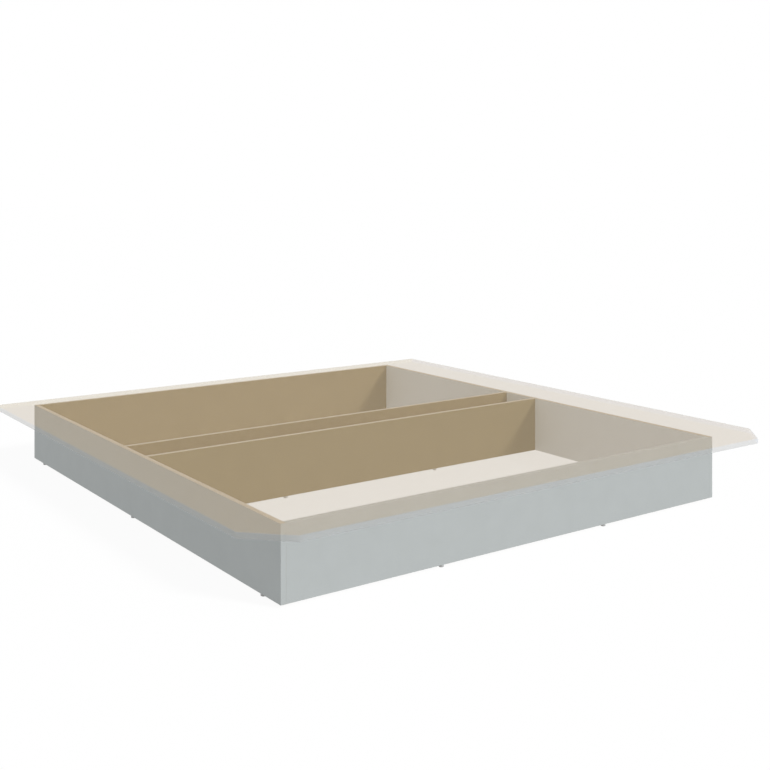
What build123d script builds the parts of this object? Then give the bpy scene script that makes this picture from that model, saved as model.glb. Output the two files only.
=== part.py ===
from build123d import *

import os
from math import cos, radians, sin, sqrt

# A low platform bed. A plinth of plain boards stands on small glides, set back under a wide deck whose two
# foot corners are cut off. Hidden cam fittings and dowels join the boards.
# Lengths are millimetres. X runs across the bed, Y from its foot to its head and Z up. The origin is on the
# floor, under the middle of the deck.

# Deck: one panel with a coloured band glued round its edge.
deck_width = 2000.0
deck_length = 2000.0
deck_thickness = 16.0
deck_corner_cut = 110.0
deck_band_thickness = 2.0
deck_band_round = 1.0

# Plinth: how far it stands back from the deck's edges, and its boards. At the head both end flush.
side_overhang = 150.0
foot_overhang = 150.0
board_thickness = 16.0
board_height = 205.0
middle_gap = 150.0
end_band_thickness = 1.0
end_band_round = 0.5

# Glides, stuck to the lower edges of the boards.
glide_height = 7.0
glide_radius = 7.5
glide_inset = 100.0
glide_spacing = 650.0

# Joints: how far they lie from the boards' lower and upper edges, and what the holes for them leave.
joint_inset = 60.0
wood_behind_holes = 5.0
hole_spare = 0.5
fit_clearance = 0.05

# Bolts, screwed into the side boards.
bolt_radius = 2.5
bolt_head_radius = 3.7
bolt_past_cam_centre = 0.6
bolt_bore_clearance = 0.3

# Cams, let into the far faces of the outer cross boards to hold the heads of the bolts.
cam_radius = 7.5
cam_setback = 34.0
cam_base = 0.5
cam_sink = 0.3
cam_clearance = 0.1
head_clearance = 0.3
race_room = 0.8
race_offset = 1.2
race_clearance = 0.05
entry_angle = 150.0
recess_length = 9.0
recess_width = 1.8
recess_depth = 2.2

# Dowels.
dowel_radius = 4.0
dowel_length = 30.0

# How far a cutting shape runs past what it cuts.
overrun = 1.0

# Places that follow from the sizes.
deck_right = deck_width / 2
deck_foot = -deck_length / 2
deck_head = deck_length / 2
board_bottom = glide_height
deck_bottom = board_bottom + board_height
plinth_right = deck_right - side_overhang
plinth_foot = deck_foot + foot_overhang
plinth_head = deck_head
plinth_middle = (plinth_foot + plinth_head) / 2
joint_x = plinth_right - board_thickness
side_board_x = plinth_right - board_thickness / 2

# Levels of the joints above the boards' lower edge. A cam at each end draws an outer cross board tight, with
# a dowel above it. The middle boards have dowels alone.
low_level = joint_inset
high_level = board_height - joint_inset
outer_joints = {"cams": [low_level], "dowels": [high_level]}
middle_joints = {"cams": [], "dowels": [low_level, high_level]}

# Each cross board from the foot to the head: where its near face is, and its joints.
cross_boards = {
    "foot_board": (plinth_foot, outer_joints),
    "middle_board_foot_side": (plinth_middle - middle_gap / 2 - board_thickness, middle_joints),
    "middle_board_head_side": (plinth_middle + middle_gap / 2, middle_joints),
    "head_end_board": (plinth_head - board_thickness, outer_joints),
}

# Depths of the joints in the boards. Bolts and dowels lie at mid thickness.
side_hole_depth = board_thickness - wood_behind_holes
cam_bore_depth = board_thickness / 2 + bolt_head_radius + head_clearance + cam_base
thread_length = side_hole_depth - hole_spare
dowel_in_side_board = side_hole_depth - hole_spare
dowel_in_cross_board = dowel_length - dowel_in_side_board

finished = []


def keep(piece, name):
    """Label a finished piece and put it on the list of files to write."""
    piece.part.label = name
    finished.append(piece)


# Deck

deck_outline = [
    Vector(-deck_right, deck_foot + deck_corner_cut),
    Vector(-deck_right + deck_corner_cut, deck_foot),
    Vector(deck_right - deck_corner_cut, deck_foot),
    Vector(deck_right, deck_foot + deck_corner_cut),
    Vector(deck_right, deck_head),
    Vector(-deck_right, deck_head),
]
deck_sides = ["left_corner", "foot", "right_corner", "right", "head", "left"]


def outward(start, end):
    """The direction out of the deck across the side from start to end."""
    along = (end - start).normalized()
    return Vector(along.Y, -along.X)


def panel_corner(index):
    """The corner of the bare panel that lies inside one corner of the banded outline."""
    corner = deck_outline[index]
    before = outward(deck_outline[index - 1], corner)
    after = outward(corner, deck_outline[(index + 1) % len(deck_outline)])
    return corner - (before + after) * (deck_band_thickness / (1 + before.dot(after)))


panel_outline = [panel_corner(index) for index in range(len(deck_outline))]

with BuildPart() as deck_panel:
    with BuildSketch(Plane.XY.offset(deck_bottom)):
        with BuildLine():
            Polyline(*panel_outline, close=True)
        make_face()
    extrude(amount=deck_thickness)
keep(deck_panel, "deck_panel")


def deck_band(index):
    """One strip of the deck's band, mitred at both ends, with its outer edges rounded."""
    following = (index + 1) % len(deck_outline)
    start = deck_outline[index]
    end = deck_outline[following]
    with BuildPart() as band:
        with BuildSketch(Plane.XY.offset(deck_bottom)):
            with BuildLine():
                Polyline(start, end, panel_outline[following], panel_outline[index], close=True)
            make_face()
        extrude(amount=deck_thickness)
        outer_face = band.faces().sort_by(Axis((0, 0, 0), outward(start, end)))[-1]
        fillet(outer_face.edges().filter_by(Plane.XY), radius=deck_band_round)
    return band


for index, side_name in enumerate(deck_sides):
    keep(deck_band(index), f"deck_band_{side_name}")


# Cross boards


def end_plane(front_y, side, level):
    """The place of a bolt or dowel on the end of a cross board, facing into the board."""
    origin = (side * joint_x, front_y + board_thickness / 2, board_bottom + level)
    return Plane(origin=origin, z_dir=(-side, 0, 0))


def cam_plane(front_y, side, level):
    """The place of a cam on the far face of a cross board, with its X axis towards the bolt's thread."""
    origin = (side * (joint_x - cam_setback), front_y + board_thickness, board_bottom + level)
    return Plane(origin=origin, x_dir=(side, 0, 0), z_dir=(0, 1, 0))


def cross_board(front_y, levels):
    """A board across the bed, bored in its far face for cams and in its ends for bolts and dowels."""
    with BuildPart() as board:
        with BuildSketch(Plane.XY.offset(board_bottom)):
            with Locations((0, front_y + board_thickness / 2)):
                Rectangle(2 * joint_x, board_thickness)
        extrude(amount=board_height)
        for side in (-1, 1):
            for level in levels["cams"]:
                with Locations(cam_plane(front_y, side, level)):
                    Hole(radius=cam_radius, depth=cam_bore_depth)
                with Locations(end_plane(front_y, side, level)):
                    Hole(radius=bolt_head_radius + bolt_bore_clearance, depth=cam_setback)
            for level in levels["dowels"]:
                with Locations(end_plane(front_y, side, level)):
                    Hole(radius=dowel_radius + fit_clearance, depth=dowel_in_cross_board + hole_spare)
    return board


for name, (front_y, levels) in cross_boards.items():
    keep(cross_board(front_y, levels), name)


# Side boards


def side_board(side):
    """A board along the bed, bored in its inner face for the bolts and dowels."""
    board_foot = plinth_foot + end_band_thickness
    with BuildPart() as board:
        with BuildSketch(Plane.XY.offset(board_bottom)):
            with Locations((side * side_board_x, (board_foot + plinth_head) / 2)):
                Rectangle(board_thickness, plinth_head - board_foot)
        extrude(amount=board_height)
        for front_y, levels in cross_boards.values():
            for level in levels["cams"]:
                with Locations(end_plane(front_y, side, level)):
                    Hole(radius=bolt_radius + fit_clearance, depth=side_hole_depth)
            for level in levels["dowels"]:
                with Locations(end_plane(front_y, side, level)):
                    Hole(radius=dowel_radius + fit_clearance, depth=side_hole_depth)
    return board


def end_band(side):
    """The strip that closes a side board's end at the plinth's front corner, with rounded upright edges."""
    with BuildPart() as band:
        with BuildSketch(Plane.XY.offset(board_bottom)):
            with Locations((side * side_board_x, plinth_foot + end_band_thickness / 2)):
                Rectangle(board_thickness, end_band_thickness)
        extrude(amount=board_height)
        front_face = band.faces().sort_by(Axis.Y)[0]
        fillet(front_face.edges().filter_by(Axis.Z), radius=end_band_round)
    return band


for side, hand in ((-1, "left"), (1, "right")):
    keep(side_board(side), f"side_board_{hand}")
    keep(end_band(side), f"end_band_{hand}")

# Cams. The model of one has the face of its board at Z zero, and its bolt comes in from +X.

cam_foot = -cam_bore_depth
cam_body_radius = cam_radius - cam_clearance
race_radius = bolt_head_radius + race_room
head_slot_width = 2 * (bolt_head_radius + head_clearance)
shank_slot_width = 2 * (bolt_radius + head_clearance)
cut_reach = cam_body_radius + overrun


def cam_cut_plane(width):
    """The lower side of a cut of the given width that has the bolt's axis at its middle."""
    return Plane.XY.offset(-board_thickness / 2 - width / 2)


with BuildPart() as cam:
    with BuildSketch(Plane.XY.offset(cam_foot)):
        Circle(cam_body_radius)
    extrude(amount=cam_bore_depth - cam_sink)
    # The race is a chamber off the cam's centre. Its wall thickens as the cam turns and draws the bolt in.
    with BuildSketch(cam_cut_plane(head_slot_width)):
        with Locations((-race_offset, 0)):
            Circle(race_radius)
    extrude(amount=head_slot_width, mode=Mode.SUBTRACT)
    # The window lets the bolt's head in.
    with BuildSketch(cam_cut_plane(head_slot_width)):
        with Locations(Rotation(0, 0, entry_angle)):
            Rectangle(cut_reach, head_slot_width, align=(Align.MIN, Align.CENTER))
    extrude(amount=head_slot_width, mode=Mode.SUBTRACT)
    # The slot lets the bolt's shank through all the way from the window to where the cam locks.
    with BuildSketch(cam_cut_plane(shank_slot_width)):
        with BuildLine():
            window_end = Vector(cut_reach * cos(radians(entry_angle)), cut_reach * sin(radians(entry_angle)))
            Line((0, 0), (cut_reach, 0))
            CenterArc((0, 0), cut_reach, 0, entry_angle)
            Line(window_end, (0, 0))
        make_face()
        Rectangle(cut_reach, shank_slot_width, align=(Align.MIN, Align.CENTER))
    extrude(amount=shank_slot_width, mode=Mode.SUBTRACT)
    # The cross recess takes the screwdriver.
    with BuildSketch(Plane.XY.offset(-cam_sink)):
        Rectangle(recess_length, recess_width)
        Rectangle(recess_width, recess_length)
    extrude(amount=-recess_depth, mode=Mode.SUBTRACT)

# Bolts and dowels. The model of one stands at the joint, and points into the cross board along Z.

race_reach = sqrt((race_radius - race_clearance) ** 2 - bolt_radius**2) - race_offset

with BuildPart() as bolt:
    with BuildSketch(Plane.XZ):
        with BuildLine():
            Polyline(
                (0, -thread_length),
                (bolt_radius, -thread_length),
                (bolt_radius, cam_setback - race_reach),
                (bolt_head_radius, cam_setback + bolt_past_cam_centre),
                (0, cam_setback + bolt_past_cam_centre),
                close=True,
            )
        make_face()
    revolve(axis=Axis.Z)

with BuildPart() as dowel:
    with BuildSketch(Plane.XY.offset(-dowel_in_side_board)):
        Circle(dowel_radius)
    extrude(amount=dowel_length)

cam_places = []
bolt_places = []
dowel_places = []
for front_y, levels in cross_boards.values():
    for side in (-1, 1):
        cam_places += [cam_plane(front_y, side, level) for level in levels["cams"]]
        bolt_places += [end_plane(front_y, side, level) for level in levels["cams"]]
        dowel_places += [end_plane(front_y, side, level) for level in levels["dowels"]]

with BuildPart() as cam_discs:
    with Locations(*cam_places):
        add(cam.part)
keep(cam_discs, "cam_discs")

with BuildPart() as cam_bolts:
    with Locations(*bolt_places):
        add(bolt.part)
keep(cam_bolts, "cam_bolts")

with BuildPart() as joint_dowels:
    with Locations(*dowel_places):
        add(dowel.part)
keep(joint_dowels, "joint_dowels")

# Glides: three under each side board and two under each cross board.

glide_ys = [plinth_foot + glide_inset, plinth_middle, plinth_head - glide_inset]
glide_spots = [(side * side_board_x, y) for side in (-1, 1) for y in glide_ys]
for front_y, levels in cross_boards.values():
    glide_spots += [(side * glide_spacing / 2, front_y + board_thickness / 2) for side in (-1, 1)]

with BuildPart() as glides:
    with BuildSketch():
        with Locations(*glide_spots):
            Circle(glide_radius)
    extrude(amount=glide_height)
keep(glides, "glides")

os.makedirs("parts", exist_ok=True)
for piece in finished:
    export_step(piece.part, f"parts/{piece.part.label}.step")
    print(piece.part.label, len(piece.part.solids()), "solids", round(piece.part.volume), "cubic mm")
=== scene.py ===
# %% [markdown]
# # A platform bed with a see-through deck
# The bed is a plinth of six plain boards on small glides, with a wide deck lying loose on it.
# The picture that it is matched to draws the deck as a faint veil, so that the inside of the
# plinth shows. This lesson starts from the measured model of the boards, which is loaded as a
# fixed frame, and gives every piece its finish. Lengths are metres. X runs across the bed, Y
# from its foot to its head, and Z up from the floor.

import math

import bmesh
import bpy
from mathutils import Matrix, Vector


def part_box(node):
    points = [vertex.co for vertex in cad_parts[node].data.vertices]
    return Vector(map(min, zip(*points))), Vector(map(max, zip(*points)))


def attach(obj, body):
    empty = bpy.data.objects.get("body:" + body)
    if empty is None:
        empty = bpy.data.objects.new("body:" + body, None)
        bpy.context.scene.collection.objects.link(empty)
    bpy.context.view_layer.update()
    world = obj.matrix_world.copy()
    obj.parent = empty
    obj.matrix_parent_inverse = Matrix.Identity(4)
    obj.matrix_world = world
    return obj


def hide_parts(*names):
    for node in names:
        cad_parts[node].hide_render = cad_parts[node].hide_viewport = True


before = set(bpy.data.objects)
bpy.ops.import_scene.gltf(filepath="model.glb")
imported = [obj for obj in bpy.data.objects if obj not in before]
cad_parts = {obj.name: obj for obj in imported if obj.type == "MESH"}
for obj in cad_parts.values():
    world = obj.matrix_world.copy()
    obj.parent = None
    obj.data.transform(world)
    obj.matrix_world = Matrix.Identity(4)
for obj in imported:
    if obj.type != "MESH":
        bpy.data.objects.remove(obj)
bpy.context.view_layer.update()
ACROSS, ALONG, UP = 0, 1, 2


def rounded(values):
    """Numbers with three decimals, for printing."""
    return [round(value, 3) for value in values]


def in_mm(length):
    """A length in millimetres, for printing."""
    return round(length * 1000, 2)


# %% [markdown]
# ## Camera
# The upright edges in the picture stay upright, so the camera was level and its view was
# shifted down, as with an architect's lens. A camera tilted down would make the corners of the
# plinth lean. Its place, turn and lens come from fitting straight lines to the edges of the
# plinth and the deck. The horizon lies above the bed, and the lens's own centre lies a little
# left of the middle of the picture.

# %% Place the camera
PICTURE_SIDE = 770
SENSOR_WIDTH = 36.0
FOCAL_PIXELS = 1107.4
HORIZON_ROW = 187.49
CENTRE_COLUMN = 355.91
CAMERA_PLACE = Vector((-2.2824, -3.2352, 1.0552))
LEVEL = math.radians(90)
CAMERA_TURN = math.radians(-34.874)
VIEW_REACH = 200.0

lens = bpy.data.cameras.new("camera")
lens.sensor_width = SENSOR_WIDTH
lens.lens = FOCAL_PIXELS * SENSOR_WIDTH / PICTURE_SIDE
lens.shift_x = (PICTURE_SIDE / 2 - CENTRE_COLUMN) / PICTURE_SIDE
lens.shift_y = (HORIZON_ROW - PICTURE_SIDE / 2) / PICTURE_SIDE
lens.clip_end = VIEW_REACH
camera = bpy.data.objects.new("camera", lens)
camera.location = CAMERA_PLACE
camera.rotation_euler = (LEVEL, 0, CAMERA_TURN)
bpy.context.scene.collection.objects.link(camera)
bpy.context.scene.camera = camera
print("lens", round(lens.lens, 2), "mm, shifted by", rounded((lens.shift_x, lens.shift_y)))

# %% [markdown]
# ## Node helpers
# A finish is a small tree of nodes, and so is a rule for a shape. One helper adds a node and
# fills its sockets, with plain values or with another node's output. A socket goes by its
# name, or by its place where several share a name. The other helpers wrap the few nodes that
# come back often.

# %% Add nodes to a tree


def add_node(tree, kind, sockets=None, **settings):
    """A new node with its settings made and its sockets filled or joined to other nodes."""
    made = tree.nodes.new(kind)
    for name, value in settings.items():
        setattr(made, name, value)
    for name, value in (sockets or {}).items():
        if isinstance(value, bpy.types.NodeSocket):
            tree.links.new(value, made.inputs[name])
        else:
            made.inputs[name].default_value = value
    return made


def maths(tree, operation, first, second=0.0, clamp=False):
    """The result of one sum on two values or sockets."""
    sockets = {0: first, 1: second}
    made = add_node(tree, "ShaderNodeMath", sockets, operation=operation, use_clamp=clamp)
    return made.outputs["Value"]


def blended(tree, share, first, second):
    """A number that goes from first to second as the share goes from 0 to 1."""
    return add_node(tree, "ShaderNodeMix", {0: share, 2: first, 3: second}).outputs[0]


def noise(tree, place, scale, detail=3.0, rough=0.5):
    """Cloudy values around a half, with about so many clouds to a metre."""
    sockets = {"Vector": place, "Scale": scale, "Detail": detail, "Roughness": rough}
    return add_node(tree, "ShaderNodeTexNoise", sockets).outputs["Fac"]


print("node helpers ready")

# %% [markdown]
# Colours are three numbers in linear light. Noise hardly ever comes near 0 or 1, so a blend of
# two tones starts and ends well inside that range unless it is told otherwise.

# %% Work with colours
WHITE = (1.0, 1.0, 1.0)


def opaque(colour):
    """The four numbers that a colour socket takes."""
    return (*colour, 1.0)


def lighter(colour, share):
    """The same colour, lighter by a share, or darker if the share is below zero."""
    return tuple(min(channel * (1 + share), 1.0) for channel in colour)


def two_tones(tree, value, low, high, start=0.3, end=0.7):
    """A colour that goes from low to high as a value goes from start to end."""
    ramp = add_node(tree, "ShaderNodeValToRGB", {"Fac": value})
    for element, place, colour in zip(ramp.color_ramp.elements, (start, end), (low, high)):
        element.position = place
        element.color = opaque(colour)
    return ramp.outputs["Color"]


def times(tree, first, second):
    """Two colours multiplied."""
    sockets = {0: 1.0, 6: first, 7: second}
    settings = {"data_type": "RGBA", "blend_type": "MULTIPLY"}
    return add_node(tree, "ShaderNodeMix", sockets, **settings).outputs[2]


print("colour helpers ready")

# %% [markdown]
# ## Material helpers
# Every finish has one Principled shader. Its patterns read Object coordinates, which are
# metres on the piece itself, so a pattern has the same true size on every piece and doesn't
# slide when the view changes. Numbers that hold for the whole surface are set on the shader's
# own sockets.

# %% Start materials


def start_material(name, roughness, specular=0.5, metallic=0.0):
    """A material, its node tree and its shader."""
    material = bpy.data.materials.new(name)
    material.use_nodes = True
    shader = material.node_tree.nodes["Principled BSDF"]
    shader.inputs["Roughness"].default_value = roughness
    shader.inputs["Specular IOR Level"].default_value = specular
    shader.inputs["Metallic"].default_value = metallic
    return material, material.node_tree, shader


def on_piece(tree):
    """Places on the piece, in metres."""
    return add_node(tree, "ShaderNodeTexCoord").outputs["Object"]


def stretched(tree, place, factors):
    """Places multiplied along each axis: a small factor draws a pattern out along that axis."""
    return add_node(tree, "ShaderNodeMapping", {"Vector": place, "Scale": factors}).outputs[0]


def colour_from(tree, shader, colour):
    """Let a pattern's colour be the surface's own."""
    tree.links.new(colour, shader.inputs["Base Color"])


def bumps(tree, shader, height, depth, strength=1.0):
    """Small bumps, from values between 0 and 1 that stand for a depth in metres."""
    sockets = {"Height": height, "Distance": depth, "Strength": strength}
    bump = add_node(tree, "ShaderNodeBump", sockets)
    tree.links.new(bump.outputs["Normal"], shader.inputs["Normal"])


print("material helpers ready")

# %% [markdown]
# ## Coated board faces
# The boards are chipboard with a printed paper pressed on to both faces. The outer three are
# grey, and their inner faces are painted lighter: painted light, for the light that the inside
# of the plinth lacks. The others are brown. The one at the head is painted a touch lighter than
# the middle ones, which is painted light, and the nearer of those a touch darker, which is
# painted shade. Such a face isn't one flat colour. The paper has soft clouds a few centimetres
# wide, the print has a fine grain, and the press plate leaves a pearl texture that takes the
# mirror out of the gloss. A scan of a real board could hold all this, but it would repeat and
# show seams. Noise at its own true scale does neither, and one function makes every finish.

# %% Make the coated faces
GREY = (0.471, 0.500, 0.498)
# Painted light: the inner grey is lighter than the outer one, for the light that the inside of
# the plinth lacks.
INSIDE_GREY_PAINTED_LIGHT = (0.745, 0.768, 0.779)
BROWN = (0.270, 0.200, 0.103)
# Painted light on the head board's brown and painted shade on the nearer middle board's brown.
HEAD_BROWN_PAINTED_LIGHT = (0.289, 0.220, 0.119)
NEAR_BROWN_PAINTED_SHADE = (0.244, 0.189, 0.098)
GREY_PRINT = {"cloud_share": 0.015, "print_share": 0.03}
BROWN_PRINT = {"cloud_share": 0.04, "print_share": 0.12}
CLOUDS = 16.0
PRINT = 700.0
PEARL = 1400.0
PEARL_DEPTH = 0.00002


def coated_face(name, colour, cloud_share, print_share):
    """Melamine paper on a board, with soft clouds, a fine print and a pearl texture."""
    material, tree, shader = start_material(name, roughness=0.6, specular=0.25)
    place = on_piece(tree)
    tones = lighter(colour, -cloud_share), lighter(colour, cloud_share)
    clouds = two_tones(tree, noise(tree, place, CLOUDS), *tones)
    dots = noise(tree, place, PRINT, detail=2.0, rough=0.7)
    grain = two_tones(tree, dots, lighter(WHITE, -print_share), WHITE)
    colour_from(tree, shader, times(tree, clouds, grain))
    bumps(tree, shader, noise(tree, place, PEARL, detail=1.0), PEARL_DEPTH)
    return material


grey_paper = coated_face("grey_board", GREY, **GREY_PRINT)
inside_paper_painted_light = coated_face("grey_board_inside_painted_light", INSIDE_GREY_PAINTED_LIGHT, **GREY_PRINT)
brown_paper = coated_face("brown_board", BROWN, **BROWN_PRINT)
head_paper_painted_light = coated_face("brown_board_at_head_painted_light", HEAD_BROWN_PAINTED_LIGHT, **BROWN_PRINT)
near_paper_painted_shade = coated_face("brown_board_near_painted_shade", NEAR_BROWN_PAINTED_SHADE, **BROWN_PRINT)
print("made", grey_paper.name, "and", inside_paper_painted_light.name, "for the outer boards")
print("made", brown_paper.name, head_paper_painted_light.name, "and", near_paper_painted_shade.name, "for the brown ones")

# %% [markdown]
# ## Raw chipboard edges
# Most of the boards' edges are sawn and left raw. From above they are the thin pale tan lines
# along the plinth. Sawn chipboard has two fine dense skins and a core of larger chips that lie
# flat, so the pattern must know how deep in the board it is. Object coordinates can't tell it
# that, because every board stands somewhere else. So it reads a UV map that holds two lengths
# in metres: the distance along the edge, and the distance from the middle of the thickness.
# Voronoi cells, drawn out along the edge, are the chips, and each has its own tone.

# %% Make the raw edges
CHIP_LIGHT = (0.736, 0.650, 0.535)
CHIP_DARK = (0.495, 0.431, 0.345)
CHIPS = 260.0
CHIP_FLATNESS = 3.0
CHIP_DEPTH = 0.0002
DUST = 6 * CHIPS
CORE_SHARE = 0.68
EDGE_MAP = "edge_metres"


def raw_edge(name, thickness):
    """Sawn chipboard: flat chips in the core and fine dust in the two skins."""
    material, tree, shader = start_material(name, roughness=0.85, specular=0.2)
    place = add_node(tree, "ShaderNodeUVMap", uv_map=EDGE_MAP).outputs["UV"]
    flat = stretched(tree, place, (1.0, CHIP_FLATNESS, 1.0))
    chips = add_node(tree, "ShaderNodeTexVoronoi", {"Vector": flat, "Scale": CHIPS})
    chip_colour = add_node(tree, "ShaderNodeSeparateColor", {"Color": chips.outputs["Color"]})
    dust = noise(tree, place, DUST, detail=2.0, rough=0.7)
    across = add_node(tree, "ShaderNodeSeparateXYZ", {"Vector": place}).outputs["Y"]
    depth = maths(tree, "ABSOLUTE", across)
    in_skin = maths(tree, "GREATER_THAN", depth, CORE_SHARE * thickness / 2)
    tone = blended(tree, in_skin, chip_colour.outputs["Red"], dust)
    colour_from(tree, shader, two_tones(tree, tone, CHIP_DARK, CHIP_LIGHT, start=0.0, end=1.0))
    bumps(tree, shader, tone, CHIP_DEPTH, strength=0.5)
    return material


board_low, board_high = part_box("foot_board")
board_thickness = board_high[ALONG] - board_low[ALONG]
chipboard = raw_edge("raw_chipboard", board_thickness)
print("made", chipboard.name, "for boards", in_mm(board_thickness), "mm thick")

# %% [markdown]
# ## Copying a measured piece
# A frame piece is a mesh of loose triangles. To work on its shape, a copy is taken, its
# doubled corners are merged, and flat neighbouring triangles are joined. The frame's own mesh
# is never touched. Every new piece rides on the bed's one body, and the frame pieces that it
# stands for are hidden.

# %% Copy and finish pieces
NEAR = 1e-5
FLAT_ANGLE = 0.002


def merged_copy(node):
    """A frame piece's mesh with its doubles merged and its flat faces joined."""
    mesh = bmesh.new()
    mesh.from_mesh(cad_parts[node].data)
    bmesh.ops.remove_doubles(mesh, verts=mesh.verts, dist=NEAR)
    flat = {"angle_limit": FLAT_ANGLE, "delimit": {"NORMAL"}}
    bmesh.ops.dissolve_limit(mesh, verts=mesh.verts, edges=mesh.edges, **flat)
    return mesh


def as_mesh(name, mesh, materials):
    """The bmesh as mesh data with its materials."""
    data = bpy.data.meshes.new(name)
    mesh.to_mesh(data)
    mesh.free()
    for material in materials:
        data.materials.append(material)
    return data


def finish_piece(name, data, slot, *nodes):
    """An object that rides on the bed and stands for its frame pieces."""
    piece = bpy.data.objects.new(name, data)
    bpy.context.scene.collection.objects.link(piece)
    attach(piece, "root")
    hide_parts(*nodes)
    return piece


print("piece helpers ready")

# %% [markdown]
# ## Plastic bands
# The edges that show most are covered with a thin plastic band: the foot board's top edge,
# which is grey in the picture and not tan, and the side boards' foot ends. The band on top
# gets less sun than the face below it but looks as light, so its grey is painted lighter:
# painted light. A band is cut from a roll and has faint lines along its length. A Wave
# texture would space them evenly, which looks ruled, so they are noise drawn out along that
# axis.

# %% Make the grey bands
# Painted light: the top band's grey is lighter than the face below it, for the sun that it lacks.
TOP_PAINTED_LIGHTER = 0.17
BAND_LINES = 900.0
LINE_TONES = (-0.03, 0.02)
LINE_DEPTH = 0.00001
DRAWN_OUT = 0.01
LINES_ALONG_X = (DRAWN_OUT, 1.0, 1.0)
LINES_ALONG_Z = (1.0, 1.0, DRAWN_OUT)


def rolled_band(name, colour, direction):
    """Plastic band with faint lines along the axis whose factor is small."""
    material, tree, shader = start_material(name, roughness=0.5, specular=0.3)
    lines = noise(tree, stretched(tree, on_piece(tree), direction), BAND_LINES, detail=2.0)
    tones = [lighter(colour, share) for share in LINE_TONES]
    colour_from(tree, shader, two_tones(tree, lines, *tones))
    bumps(tree, shader, lines, LINE_DEPTH)
    return material


top_band_painted_light = rolled_band("top_band_painted_light", lighter(GREY, TOP_PAINTED_LIGHTER), LINES_ALONG_X)
end_band = rolled_band("end_band", GREY, LINES_ALONG_Z)
print("made", top_band_painted_light.name, "and", end_band.name)

# %% [markdown]
# ## Boards
# The measured boards have knife-sharp corners, which no saw leaves, so their outer edges are
# eased by less than half a millimetre. Where two boards meet, the eased edges make the fine
# line that the picture shows. A Bevel modifier would round the rims of the bores too, so the
# edges are picked one by one: an edge is an outer one if both its ends lie on the same two
# sides of the board's box. The foot end of a side board is left square, because a band is
# glued over it.

# %% Pick the edges to ease


def sides_touched(point, low, high):
    """The sides of a box that a point lies on, as pairs of an axis and -1 or 1."""
    touched = {(axis, -1) for axis in range(3) if abs(point[axis] - low[axis]) < NEAR}
    return touched | {(axis, 1) for axis in range(3) if abs(point[axis] - high[axis]) < NEAR}


def edges_to_ease(mesh, low, high, glued_side):
    """The edges along the box's own edges, but not those round a side that is glued."""
    picked = []
    for edge in mesh.edges:
        start, end = (sides_touched(vertex.co, low, high) for vertex in edge.verts)
        shared = start & end
        if len(shared) == 2 and glued_side not in shared:
            picked.append(edge)
    return picked


print("edge helpers ready")

# %% [markdown]
# The two broad faces of a board get the paper, and the other faces stay raw or get a band.
# Which finish a face gets is told by where it looks. An eased edge is two narrow strips, and
# the limit lies between their slants: the strip beside the broad face gets the paper too, and
# the other one goes with the board's edge.

# %% Sort the faces of a board
OUTSIDE, INSIDE, SAWN, TOP = range(4)
LOOKS_OUT = 0.9
LOOKS_UP = 0.5
LOOKS_ALONG = 0.7


def finish_of(normal, outward):
    """Which of a board's four finishes a face gets."""
    facing_out = normal.dot(outward)
    if abs(facing_out) > LOOKS_OUT:
        return OUTSIDE if facing_out > 0 else INSIDE
    return TOP if normal[UP] > LOOKS_UP else SAWN


def mark_faces(mesh, low, high, outward):
    """Each face gets its finish, and lengths in metres as its UV."""
    metres = mesh.loops.layers.uv.new(EDGE_MAP)
    middle = (Vector(low) + Vector(high)) / 2
    across_board, long_axis = (ACROSS, ALONG) if outward.x else (ALONG, ACROSS)
    for face in mesh.faces:
        face.material_index = finish_of(face.normal, outward)
        run = UP if abs(face.normal[long_axis]) > LOOKS_ALONG else long_axis
        for corner in face.loops:
            offset = corner.vert.co - middle
            corner[metres].uv = (offset[run], offset[across_board])


print("face helpers ready")

# %% [markdown]
# Each board is now copied, eased, sorted and given its finishes. Two segments are enough for an
# easing that is narrower than a pixel in the picture.

# %% Ease and coat the boards
EASE = {"offset": 0.0004, "segments": 2, "profile": 0.5, "affect": "EDGES", "clamp_overlap": True}
LEFT, RIGHT, TO_FOOT, TO_HEAD = (-1, 0, 0), (1, 0, 0), (0, -1, 0), (0, 1, 0)
FOOT_END = (ALONG, -1)


def finished_board(node, outward, outside, inside, top, slot, glued_side=None):
    """A board with eased edges, its outside and inside finishes, and its own finish on the top
    edge.
    """
    low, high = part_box(node)
    mesh = merged_copy(node)
    picked = edges_to_ease(mesh, low, high, glued_side)
    bmesh.ops.bevel(mesh, geom=picked, **EASE)
    mark_faces(mesh, low, high, Vector(outward))
    name = f"{node}_finished"
    print(name, "eased along", len(picked), "edges")
    return finish_piece(name, as_mesh(name, mesh, (outside, inside, chipboard, top)), slot, node)


for node, outward in {"side_board_left": LEFT, "side_board_right": RIGHT}.items():
    finished_board(node, outward, grey_paper, inside_paper_painted_light, chipboard, "grey_board", FOOT_END)
finished_board("foot_board", TO_FOOT, grey_paper, inside_paper_painted_light, top_band_painted_light, "grey_board")
BROWN_BOARDS = {
    "head_end_board": (TO_HEAD, head_paper_painted_light),
    "middle_board_foot_side": (TO_FOOT, near_paper_painted_shade),
    "middle_board_head_side": (TO_HEAD, brown_paper),
}
for node, (outward, paper) in BROWN_BOARDS.items():
    finished_board(node, outward, paper, paper, chipboard, "brown_board")

# %% [markdown]
# ## End bands
# The one-millimetre bands on the side boards' foot ends show beside the foot board. Their
# measured shape is right, so the frame's own pieces stay, and only the material in their slots
# changes.

# %% Finish the end bands


def dress(node, material):
    """Give a frame piece a better material."""
    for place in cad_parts[node].material_slots:
        place.material = material
    print(node, "wears", material.name)


dress("end_band_left", end_band)
dress("end_band_right", end_band)
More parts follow.
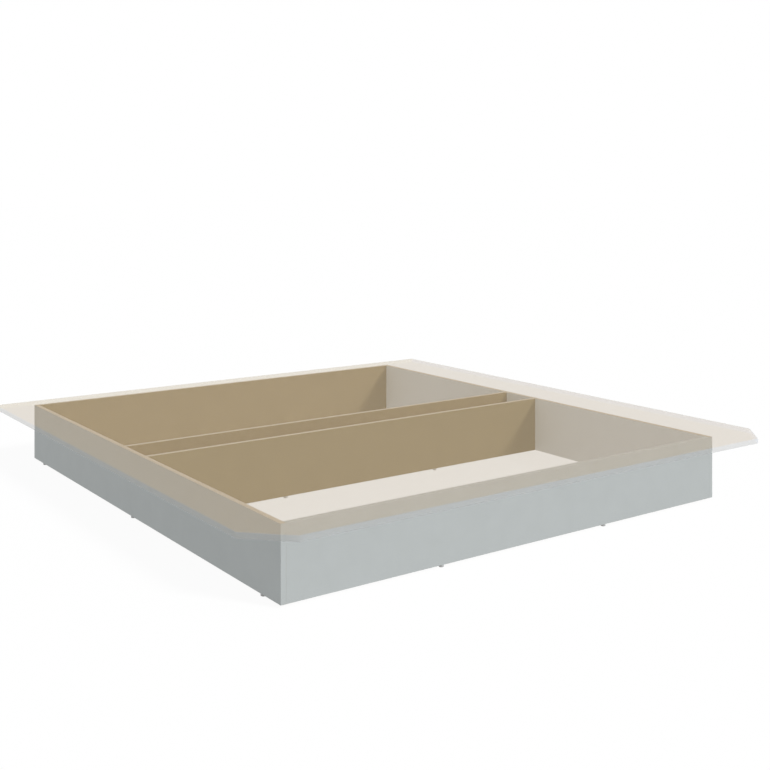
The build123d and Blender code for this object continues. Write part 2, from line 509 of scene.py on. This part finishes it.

# %% [markdown]
# ## See-through finishes
# The deck is drawn as a faint tan veil. Glass would bend and mirror what is behind it, so the
# shader's own Alpha is used. Any line of sight through a closed sheet crosses its surface
# twice, and each crossing must cover less than the whole veil: 1 minus the square root of what
# the veil lets through. Faces where two pieces are glued lie inside the sheet and are fully
# clear, or they would add a crossing. The top is a light wood print with a faint straight
# grain along the bed. The underside is painted a darker plain tan: painted shade, which keeps
# the deck's edge from looking too bright on the shaded side.

# %% Make the deck's wood
VEIL = 0.45
CROSSING = 1 - math.sqrt(1 - VEIL)
CLEAR = 0.0
TOP_TAN = (0.700, 0.533, 0.345)
# Painted shade: the underside's tan is darker than the top's.
UNDER_TAN_PAINTED_SHADE = (0.380, 0.335, 0.220)
GRAIN = 60.0
GRAIN_TONES = (-0.02, 0.02)
GRAIN_DEPTH = 0.00002
GRAIN_ALONG_Y = (1.0, 0.04, 1.0)


def veiled_wood(name, colour, alpha):
    """Printed wood that covers only a share of what is behind it."""
    material, tree, shader = start_material(name, roughness=0.7, specular=0.1)
    drawn = stretched(tree, on_piece(tree), GRAIN_ALONG_Y)
    grain = noise(tree, drawn, GRAIN, detail=6.0, rough=0.6)
    tones = [lighter(colour, share) for share in GRAIN_TONES]
    colour_from(tree, shader, two_tones(tree, grain, *tones))
    bumps(tree, shader, grain, GRAIN_DEPTH)
    shader.inputs["Alpha"].default_value = alpha
    return material


top_veil = veiled_wood("deck_board", TOP_TAN, CROSSING)
under_veil_painted_shade = veiled_wood("deck_underside_painted_shade", UNDER_TAN_PAINTED_SHADE, CROSSING)
glued_veil = veiled_wood("glued_faces", TOP_TAN, CLEAR)
print("each crossing covers", round(CROSSING, 3), "and two cover", VEIL)

# %% [markdown]
# The deck's edge has the same kind of band as the boards, as faint as the deck, with its lines
# running round it. It is grey in the picture. The edge at the head is hidden and shows only
# through the deck, from the inside, where the sun from the foot side lights it. So its band is
# painted a darker tan than the others: painted shade.

# %% Make the deck's bands
DECK_EDGE = (0.575, 0.620, 0.690)
# Painted shade: the band at the head is a darker tan than the other bands.
HEAD_EDGE_PAINTED_SHADE = (0.520, 0.490, 0.290)
LINES_ROUND = (DRAWN_OUT, DRAWN_OUT, 1.0)
VEIL_SPECULAR = 0.1


def veiled_band(name, colour, alpha):
    """A matt plastic band that covers only a share of what is behind it."""
    material = rolled_band(name, colour, LINES_ROUND)
    shader = material.node_tree.nodes["Principled BSDF"]
    shader.inputs["Specular IOR Level"].default_value = VEIL_SPECULAR
    shader.inputs["Alpha"].default_value = alpha
    return material


edge_veil = veiled_band("deck_band", DECK_EDGE, CROSSING)
head_veil_painted_shade = veiled_band("deck_band_at_head_painted_shade", HEAD_EDGE_PAINTED_SHADE, CROSSING)
print("made", edge_veil.name, "and", head_veil_painted_shade.name)

# %% [markdown]
# ## Geometry Nodes helpers
# Some shapes follow a rule, and Geometry Nodes state the rule itself: change a number and the
# shape follows. A tree is built with named inputs, put on a carrier object, and its evaluated
# result is kept as a plain mesh. An input is set by its socket's identifier, because two
# inputs could share a name. Each rule ends by making its instances real and giving its faces
# their materials.

# %% Build and run a tree


def new_rule(name, sockets):
    """An empty tree with named inputs. Returns the tree, its input sockets and output node."""
    tree = bpy.data.node_groups.new(name, "GeometryNodeTree")
    tree.interface.new_socket("Geometry", in_out="INPUT", socket_type="NodeSocketGeometry")
    for label, kind in sockets.items():
        tree.interface.new_socket(label, in_out="INPUT", socket_type=f"NodeSocket{kind}")
    tree.interface.new_socket("Geometry", in_out="OUTPUT", socket_type="NodeSocketGeometry")
    given = tree.nodes.new("NodeGroupInput").outputs
    return tree, given, tree.nodes.new("NodeGroupOutput")


def grow(tree, start, values):
    """Run a tree on a starting mesh, and return the plain mesh that it makes."""
    carrier = bpy.data.objects.new("carrier", start)
    bpy.context.scene.collection.objects.link(carrier)
    modifier = carrier.modifiers.new("rule", "NODES")
    modifier.node_group = tree
    for item in tree.interface.items_tree:
        if item.in_out == "INPUT" and item.name in values:
            modifier[item.identifier] = values[item.name]
    graph = bpy.context.evaluated_depsgraph_get()
    grown = bpy.data.meshes.new_from_object(carrier.evaluated_get(graph))
    bpy.data.objects.remove(carrier)
    grown.name = tree.name
    return grown


def made_real(tree, shape):
    """The shape with its instances made real, because the export drops instances."""
    return add_node(tree, "GeometryNodeRealizeInstances", {"Geometry": shape}).outputs[0]


def coated(tree, shape, material, picked=True):
    """The shape with its picked faces in a material."""
    sockets = {"Geometry": shape, "Selection": picked, "Material": material}
    return add_node(tree, "GeometryNodeSetMaterial", sockets).outputs[0]


print("rule helpers ready")

# %% [markdown]
# ## Deck panel
# The panel is a rectangle whose two foot corners are cut off at 45 degrees. Its corners could
# be typed in, but then the cut would have to be worked out again for every size. As a rule it
# stays right. Fillet Curve with a count of one turns a corner into a straight cut, and its
# radius is a field, which is zero at the head corners. The filled outline is pushed up by the
# thickness, and a flipped copy of it closes the bottom. The sheet starts a hair above the
# boards, because two faces at the same height would flicker.

# %% Start the rule of the clipped panel
RESTING_GAP = 0.0002

panel_rule, given, made = new_rule(
    "deck_panel_finished",
    {
        "Width": "Float",
        "Length": "Float",
        "Thickness": "Float",
        "Corner Cut": "Float",
        "Base": "Vector",
        "Top": "Material",
        "Underside": "Material",
        "Glued Sides": "Material",
    },
)
sides = {"Width": given["Width"], "Height": given["Length"]}
outline = add_node(panel_rule, "GeometryNodeCurvePrimitiveQuadrilateral", sides).outputs["Curve"]
spot = add_node(panel_rule, "GeometryNodeInputPosition").outputs["Position"]
spot_along = add_node(panel_rule, "ShaderNodeSeparateXYZ", {"Vector": spot}).outputs["Y"]
at_foot = maths(panel_rule, "LESS_THAN", spot_along, 0.0)
cut_here = maths(panel_rule, "MULTIPLY", given["Corner Cut"], at_foot)
clip = {"Curve": outline, "Count": 1, "Radius": cut_here}
clipped = add_node(panel_rule, "GeometryNodeFilletCurve", clip, mode="POLY").outputs["Curve"]
print("outline rule with", len(panel_rule.nodes), "nodes")

# %% [markdown]
# The second half of the rule gives the outline its body, puts it in its place, and gives the
# top, the underside and the glued sides their materials.

# %% Finish the rule of the clipped panel
filled = add_node(panel_rule, "GeometryNodeFillCurve", {"Curve": clipped}, mode="NGONS")
flat = filled.outputs["Mesh"]
rise = add_node(panel_rule, "ShaderNodeCombineXYZ", {"Z": given["Thickness"]}).outputs["Vector"]
push = {"Mesh": flat, "Offset": rise, "Individual": False}
pushed = add_node(panel_rule, "GeometryNodeExtrudeMesh", push)
underside = add_node(panel_rule, "GeometryNodeFlipFaces", {"Mesh": flat}).outputs["Mesh"]
joined = panel_rule.nodes.new("GeometryNodeJoinGeometry")
for half in (underside, pushed.outputs["Mesh"]):
    panel_rule.links.new(half, joined.inputs[0])
loose = {"Geometry": joined.outputs[0], "Distance": NEAR}
closed = add_node(panel_rule, "GeometryNodeMergeByDistance", loose)
move = {"Geometry": closed.outputs[0], "Translation": given["Base"]}
placed = add_node(panel_rule, "GeometryNodeTransform", move)
sheet = made_real(panel_rule, placed.outputs[0])
sheet = coated(panel_rule, sheet, given["Underside"])
sheet = coated(panel_rule, sheet, given["Top"], picked=pushed.outputs["Top"])
sheet = coated(panel_rule, sheet, given["Glued Sides"], picked=pushed.outputs["Side"])
panel_rule.links.new(sheet, made.inputs["Geometry"])
print("whole rule with", len(panel_rule.nodes), "nodes")

# %% [markdown]
# The panel's sizes are read from the frame. The length of the cut isn't in the frame's box, so
# it is measured on the frame's mesh: it is how far the foot edge stops short of the panel's
# corner.

# %% Make the panel
panel_low, panel_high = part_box("deck_panel")
corners = [vertex.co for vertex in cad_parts["deck_panel"].data.vertices]
foot_corners = [corner for corner in corners if abs(corner[ALONG] - panel_low[ALONG]) < NEAR]
panel_cut = panel_high[ACROSS] - max(corner[ACROSS] for corner in foot_corners)
panel_middle = (panel_low[ALONG] + panel_high[ALONG]) / 2
panel_sizes = {
    "Width": panel_high[ACROSS] - panel_low[ACROSS],
    "Length": panel_high[ALONG] - panel_low[ALONG],
    "Thickness": panel_high[UP] - panel_low[UP] - RESTING_GAP,
    "Corner Cut": panel_cut,
    "Base": (0.0, panel_middle, panel_low[UP] + RESTING_GAP),
    "Top": top_veil,
    "Underside": under_veil_painted_shade,
    "Glued Sides": glued_veil,
}
panel_mesh = grow(panel_rule, bpy.data.meshes.new("empty"), panel_sizes)
panel = finish_piece("deck_panel_finished", panel_mesh, "deck_board", "deck_panel")
print("panel with", len(panel_mesh.polygons), "faces, corners cut by", in_mm(panel_cut), "mm")

# %% [markdown]
# ## Deck bands
# Six mitred bands cover the panel's sides, with their outer edges rounded by a millimetre.
# They could be swept along the outline, but their measured shape is right and is kept. Each
# face only has to know whether it shows, so copies of them are sorted by face: a face that
# looks inwards, towards the panel or along a mitre, is glued and clear, and the others carry
# the band's colour. Their lower rims are lifted by the same hair as the panel.

# %% Finish the deck bands
SHOWS, GLUED = range(2)
LOOKS_IN = -0.1
SHARP_ANGLE = math.radians(30)
DIAGONAL = math.sqrt(0.5)
BANDS = {
    "deck_band_foot": (TO_FOOT, edge_veil),
    "deck_band_left": (LEFT, edge_veil),
    "deck_band_right": (RIGHT, edge_veil),
    "deck_band_head": (TO_HEAD, head_veil_painted_shade),
    "deck_band_left_corner": ((-DIAGONAL, -DIAGONAL, 0), edge_veil),
    "deck_band_right_corner": ((DIAGONAL, -DIAGONAL, 0), edge_veil),
}


def finished_band(node, outward, veil):
    """A band whose outer faces are veiled and whose glued faces are clear."""
    low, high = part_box(node)
    mesh = merged_copy(node)
    for vertex in mesh.verts:
        depth_share = (high[UP] - vertex.co.z) / (high[UP] - low[UP])
        vertex.co.z += RESTING_GAP * depth_share
    for face in mesh.faces:
        glued = face.normal.dot(Vector(outward)) < LOOKS_IN
        face.material_index = GLUED if glued else SHOWS
        face.smooth = not glued
    name = f"{node}_finished"
    data = as_mesh(name, mesh, (veil, glued_veil))
    data.set_sharp_from_angle(angle=SHARP_ANGLE)
    return finish_piece(name, data, "deck_band", node)


bands = [finished_band(node, outward, veil) for node, (outward, veil) in BANDS.items()]
print(len(bands), "bands round the panel")

# %% [markdown]
# In the picture the deck neither shades the plinth nor tints the light inside it: only the eye
# sees the veil. Cycles can say that for each object. The deck's pieces are hidden from shadow
# rays and from diffuse rays, and stay visible to the camera and in gloss.

# %% Let light pass the deck
for piece in [panel, *bands]:
    piece.visible_shadow = False
    piece.visible_diffuse = False
print("light passes", 1 + len(bands), "deck pieces")

# %% [markdown]
# ## Glides
# Fourteen small plastic discs carry the boards. They all have the same shape and differ only
# in place, which is what instances are for. The places are the centres of the frame's own
# discs, which are found as islands of joined corners in its mesh.

# %% Find the glides' places


def island_centres(node):
    """The middle of each separate solid in a frame piece."""
    mesh = merged_copy(node)
    left = set(mesh.verts)
    centres = []
    while left:
        island, reach = set(), [left.pop()]
        while reach:
            vertex = reach.pop()
            island.add(vertex)
            near = {edge.other_vert(vertex) for edge in vertex.link_edges} & left
            left -= near
            reach.extend(near)
        lengths = zip(*(vertex.co for vertex in island))
        centres.append([(min(values) + max(values)) / 2 for values in lengths])
    mesh.free()
    return sorted(centres)


glide_places = island_centres("glides")
print(len(glide_places), "glides, the first at", rounded(glide_places[0]))

# %% [markdown]
# One disc is a cylinder with many rings. Near the floor they are drawn in by the rule of a
# quarter circle, so that the foot is round and would slide. A plain Bevel modifier would round
# the top rim as well, which is stuck flat to the board.

# %% Shape one glide by rule
glide_rule, given, made = new_rule(
    "glides_finished",
    {
        "Radius": "Float",
        "Height": "Float",
        "Foot Round": "Float",
        "Steps Round": "Int",
        "Steps Up": "Int",
        "Plastic": "Material",
    },
)
drum_sizes = {
    "Vertices": given["Steps Round"],
    "Side Segments": given["Steps Up"],
    "Radius": given["Radius"],
    "Depth": given["Height"],
}
drum = add_node(glide_rule, "GeometryNodeMeshCylinder", drum_sizes, fill_type="NGON")
spot = add_node(glide_rule, "GeometryNodeInputPosition").outputs["Position"]
height = add_node(glide_rule, "ShaderNodeSeparateXYZ", {"Vector": spot}).outputs["Z"]
half_height = maths(glide_rule, "MULTIPLY", given["Height"], 0.5)
above_floor = maths(glide_rule, "ADD", height, half_height)
below_round = maths(glide_rule, "SUBTRACT", given["Foot Round"], above_floor)
sunk = maths(glide_rule, "DIVIDE", below_round, given["Foot Round"], clamp=True)
sunk_squared = maths(glide_rule, "MULTIPLY", sunk, sunk)
bow = maths(glide_rule, "SQRT", maths(glide_rule, "SUBTRACT", 1.0, sunk_squared))
dip = maths(glide_rule, "SUBTRACT", 1.0, bow)
pulled_in = maths(glide_rule, "MULTIPLY", given["Foot Round"], dip)
loss = maths(glide_rule, "DIVIDE", pulled_in, given["Radius"])
share = maths(glide_rule, "SUBTRACT", 1.0, loss)
print("shape rule with", len(glide_rule.nodes), "nodes")

# %% [markdown]
# The rings are moved by multiplying their places, and the finished disc is put on every point.

# %% Place the glides by rule
factors = {"X": share, "Y": share, "Z": 1.0}
squeeze = add_node(glide_rule, "ShaderNodeCombineXYZ", factors).outputs["Vector"]
product = {0: spot, 1: squeeze}
moved = add_node(glide_rule, "ShaderNodeVectorMath", product, operation="MULTIPLY").outputs[0]
shape = {"Geometry": drum.outputs["Mesh"], "Position": moved}
shaped = add_node(glide_rule, "GeometryNodeSetPosition", shape).outputs[0]
spread = {"Points": given["Geometry"], "Instance": shaped}
copies = add_node(glide_rule, "GeometryNodeInstanceOnPoints", spread).outputs[0]
discs = coated(glide_rule, made_real(glide_rule, copies), given["Plastic"])
glide_rule.links.new(discs, made.inputs["Geometry"])
print("whole rule with", len(glide_rule.nodes), "nodes")

# %% [markdown]
# The glides are moulded in mid grey. Moulded plastic has a slight orange-peel texture, and
# dust dulls it, so its roughness is high and its bumps are shallow.

# %% Make the glides
PLASTIC_GREY = (0.485, 0.490, 0.490)
DUST_SPOTS = 400.0
DUST_TONES = (-0.1, 0.08)
ORANGE_PEEL = 1500.0
PEEL_DEPTH = 0.00003
FOOT_ROUND = 0.0015
STEPS_ROUND = 32
STEPS_UP = 10


def moulded_plastic(name, colour):
    """Grey plastic with an orange-peel texture and a little dust."""
    material, tree, shader = start_material(name, roughness=0.45, specular=0.4)
    place = on_piece(tree)
    tones = [lighter(colour, share) for share in DUST_TONES]
    colour_from(tree, shader, two_tones(tree, noise(tree, place, DUST_SPOTS), *tones))
    bumps(tree, shader, noise(tree, place, ORANGE_PEEL), PEEL_DEPTH)
    return material


glide_low, glide_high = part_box("glides")
glide_radius = min(place[ACROSS] for place in glide_places) - glide_low[ACROSS]
glide_sizes = {
    "Radius": glide_radius,
    "Height": glide_high[UP] - glide_low[UP],
    "Foot Round": FOOT_ROUND,
    "Steps Round": STEPS_ROUND,
    "Steps Up": STEPS_UP,
    "Plastic": moulded_plastic("glide_plastic", PLASTIC_GREY),
}
places_mesh = bpy.data.meshes.new("glide_places")
places_mesh.from_pydata(glide_places, [], [])
glide_mesh = grow(glide_rule, places_mesh, glide_sizes)
glides = finish_piece("glides_finished", glide_mesh, "glide_plastic", "glides")
print(glides.name, "with", len(glide_mesh.polygons), "faces, radius", in_mm(glide_radius), "mm")

# %% [markdown]
# ## Fittings
# The foot board and the head-end board are held by cams and bolts, and all cross boards by
# dowels. Their measured shapes are right and stay. The cams are die-cast zinc, a little uneven
# and dull, so they have soft clouds of tone and a fine cast grain. The bolts are turned steel,
# with fine rings round their axis, which lies across the bed. The rings are noise that hardly
# changes along the other two axes.

# %% Finish the cams and bolts
ZINC_TONES = (0.50, 0.51, 0.53), (0.66, 0.66, 0.67)
ZINC_CLOUDS = 220.0
CAST_GRAIN = 900.0
CAST_DEPTH = 0.00004
STEEL_TONES = (0.56, 0.57, 0.59), (0.70, 0.70, 0.71)
RINGS = 3000.0
RINGS_ROUND_X = (1.0, 0.05, 0.05)
RING_DEPTH = 0.00001


def cast_zinc(name):
    """Dull cast metal, a little uneven."""
    material, tree, shader = start_material(name, roughness=0.42, metallic=1.0)
    place = on_piece(tree)
    cloudy = noise(tree, place, ZINC_CLOUDS, detail=4.0)
    colour_from(tree, shader, two_tones(tree, cloudy, *ZINC_TONES))
    bumps(tree, shader, noise(tree, place, CAST_GRAIN, detail=2.0), CAST_DEPTH)
    return material


def turned_steel(name):
    """Steel with the fine rings that a lathe leaves."""
    material, tree, shader = start_material(name, roughness=0.3, metallic=1.0)
    rings = noise(tree, stretched(tree, on_piece(tree), RINGS_ROUND_X), RINGS, detail=2.0)
    colour_from(tree, shader, two_tones(tree, rings, *STEEL_TONES))
    bumps(tree, shader, rings, RING_DEPTH)
    return material


dress("cam_discs", cast_zinc("zinc"))
dress("cam_bolts", turned_steel("steel"))

# %% [markdown]
# The dowels are beech, with its grain along them, which is across the bed, and the short dark
# flecks that beech has. Both are noise drawn out along that axis, the grain further than the
# flecks, and the flecks darken the grain only where their noise is low.

# %% Finish the dowels
BEECH_TONES = (0.56, 0.36, 0.20), (0.70, 0.50, 0.31)
BEECH_GRAIN = 900.0
GRAIN_ALONG_X = (0.06, 1.0, 1.0)
BEECH_DEPTH = 0.00005
FLECK_DARK = (0.75, 0.65, 0.55)
FLECKS = 1600.0
FLECKS_ALONG_X = (0.25, 1.0, 1.0)
FLECK_START, FLECK_END = 0.25, 0.4


def beech(name):
    """Pale wood with grain and flecks along the dowel."""
    material, tree, shader = start_material(name, roughness=0.65, specular=0.3)
    place = on_piece(tree)
    grain = noise(tree, stretched(tree, place, GRAIN_ALONG_X), BEECH_GRAIN, detail=4.0)
    flecks = noise(tree, stretched(tree, place, FLECKS_ALONG_X), FLECKS, detail=1.0)
    shade = two_tones(tree, flecks, FLECK_DARK, WHITE, FLECK_START, FLECK_END)
    colour_from(tree, shader, times(tree, two_tones(tree, grain, *BEECH_TONES), shade))
    bumps(tree, shader, grain, BEECH_DEPTH)
    return material


dress("joint_dowels", beech("beech"))

# %% [markdown]
# ## Floor
# The picture has a plain white ground with no horizon. The floor is a large square, white in
# its colour. So that it also looks white to the camera, most of what the camera sees of it is
# plain emission, and the rest is its lit surface, which keeps a faint shadow of the bed. In
# the picture the boards are as light at the bottom as at the top, so for the rays that light
# the boards most of the floor is an even glow too. It is dimmer than a sunlit white floor
# would be, and the bed's own shadow hardly changes it. Light Path tells the two kinds of rays
# apart.

# %% Tell the eye's rays from the light's


def looked_at(tree):
    """1 for rays from the camera, from gloss and through glass, 0 for those that bring light."""
    ray = tree.nodes.new("ShaderNodeLightPath").outputs
    eye_or_gloss = maths(tree, "ADD", ray["Is Camera Ray"], ray["Is Glossy Ray"], clamp=True)
    return maths(tree, "ADD", eye_or_gloss, ray["Is Transmission Ray"], clamp=True)


print("ray helper ready")

# %% Lay the floor
FLOOR_HALF = 60.0
FLOOR_WHITE = (0.8, 0.8, 0.8)
SEEN_GLOW_SHARE = 0.9
SEEN_GLOW = 1.032
FELT_GLOW_SHARE = 0.85
FELT_GLOW = 0.515

floor_material, tree, shader = start_material("floor_white", roughness=0.9, specular=0.0)
shader.inputs["Base Color"].default_value = opaque(FLOOR_WHITE)
seen = looked_at(tree)
glow_share = blended(tree, seen, FELT_GLOW_SHARE, SEEN_GLOW_SHARE)
glow_light = {"Color": opaque(WHITE), "Strength": blended(tree, seen, FELT_GLOW, SEEN_GLOW)}
glow = add_node(tree, "ShaderNodeEmission", glow_light).outputs[0]
layers = {0: glow_share, 1: shader.outputs[0], 2: glow}
surface = add_node(tree, "ShaderNodeMixShader", layers).outputs[0]
tree.links.new(surface, tree.nodes["Material Output"].inputs["Surface"])

floor_mesh = bmesh.new()
bmesh.ops.create_grid(floor_mesh, x_segments=1, y_segments=1, size=FLOOR_HALF)
floor = bpy.data.objects.new("floor", as_mesh("floor", floor_mesh, [floor_material]))
bpy.context.scene.collection.objects.link(floor)
print("floor", 2 * FLOOR_HALF, "m wide")

# %% [markdown]
# ## Light
# An even white sky lights all sides alike, and is white behind the floor for the camera. One
# sun makes the foot side brighter than the left side. Its direction was read from the picture:
# the shadow of the right side board on the boards across the bed goes a little over 80
# sideways for 100 down, and the clipped corner of the deck, which turns a little away from the
# sun, is in half light. A weak fill light comes from the left and a little from behind, as in
# a studio. It casts no shadow, so the inside of the right board stays as even as in the
# picture, right into its corners. Together they light the foot side at about one, so a colour
# looks as written.

# %% Light the sky
SKY = 0.47
SEEN_SKY = 1.0

world = bpy.data.worlds.new("studio")
bpy.context.scene.world = world
world.use_nodes = True
sky = world.node_tree.nodes["Background"]
sky.inputs["Color"].default_value = opaque(WHITE)
strength = blended(world.node_tree, looked_at(world.node_tree), SKY, SEEN_SKY)
world.node_tree.links.new(strength, sky.inputs["Strength"])
bpy.context.scene.view_settings.view_transform = "Standard"
print("sky", SKY, "for the bed and", SEEN_SKY, "for the camera")

# %% Set the sun and the fill
SUN = 2.19
TOWARDS_SUN = Vector((0.83, -1.32, 1.0))
FILL = 0.475
TOWARDS_FILL = Vector((-1.0, 0.5, 0.25))
SOFTNESS = math.radians(11)


def add_sun(name, energy, towards, casts_shadow):
    """A far lamp whose light comes from one direction."""
    lamp = bpy.data.lights.new(name, "SUN")
    lamp.energy = energy
    lamp.angle = SOFTNESS
    lamp.use_shadow = casts_shadow
    placed = bpy.data.objects.new(name, lamp)
    placed.rotation_euler = towards.to_track_quat("Z", "Y").to_euler()
    bpy.context.scene.collection.objects.link(placed)


add_sun("sun", SUN, TOWARDS_SUN, casts_shadow=True)
add_sun("fill", FILL, TOWARDS_FILL, casts_shadow=False)
print("sun", SUN, "and fill", FILL)
